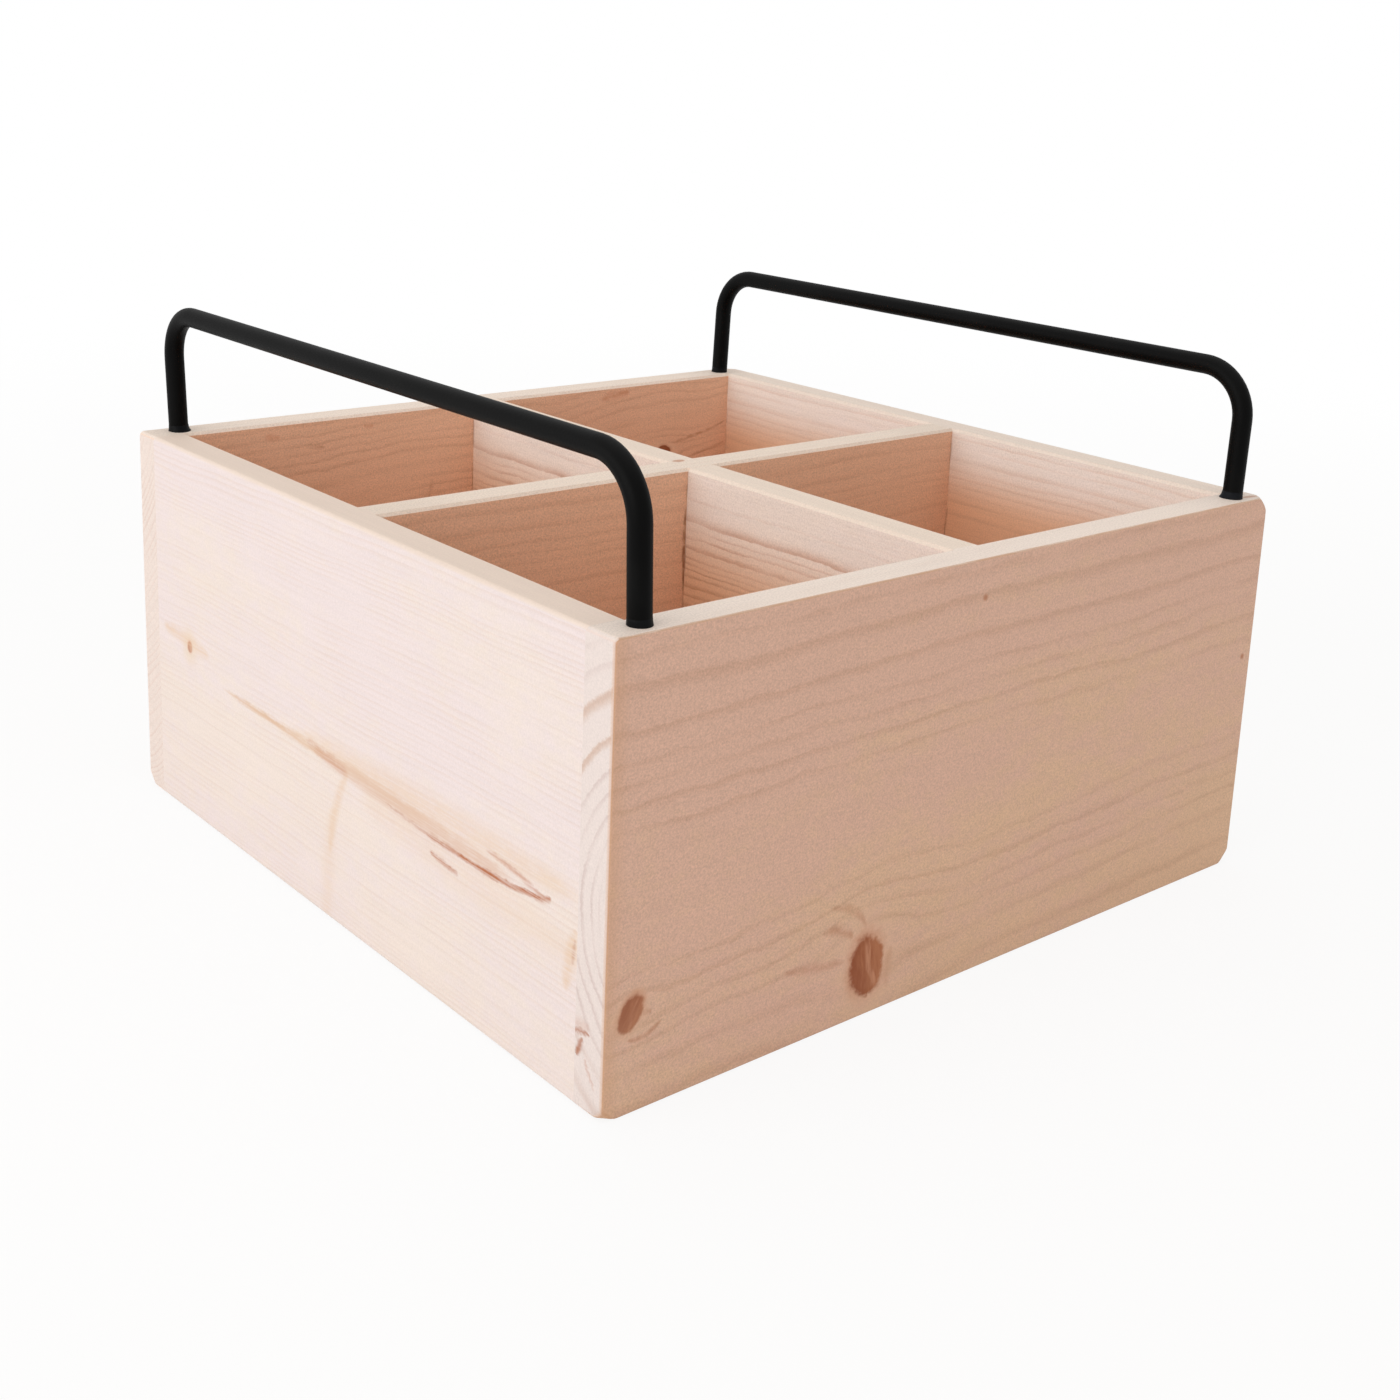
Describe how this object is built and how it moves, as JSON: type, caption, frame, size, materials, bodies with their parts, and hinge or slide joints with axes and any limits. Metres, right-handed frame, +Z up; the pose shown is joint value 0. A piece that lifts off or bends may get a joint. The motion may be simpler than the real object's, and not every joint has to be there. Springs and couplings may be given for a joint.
{
  "type": "utensil box",
  "caption": "Square open pine box with crossed dividers for utensils and bent black rod handles standing on its rim.",
  "frame": {"origin": "on the table, under the middle of the box", "axes": "+X left to right, +Y front to back, +Z up; the handles run along Y"},
  "size_m": [0.25, 0.25, 0.1615],
  "materials": {
    "pine": "planed and sanded, unvarnished",
    "plywood": "sanded, unvarnished",
    "dowel_wood": "turned, glued in",
    "black_rod": "matte black powder coat on steel"
  },
  "bodies": {
    "root": {"front_board": "pine", "back_board": "pine", "left_side_board": "pine", "right_side_board": "pine", "long_divider": "pine", "cross_divider": "pine", "bottom_panel": "plywood", "front_left_corner_dowels": "dowel_wood", "front_right_corner_dowels": "dowel_wood", "back_left_corner_dowels": "dowel_wood", "back_right_corner_dowels": "dowel_wood", "front_divider_dowels": "dowel_wood", "back_divider_dowels": "dowel_wood", "left_divider_dowels": "dowel_wood", "right_divider_dowels": "dowel_wood", "left_handle": "black_rod", "right_handle": "black_rod"}
  },
  "joints": []
}
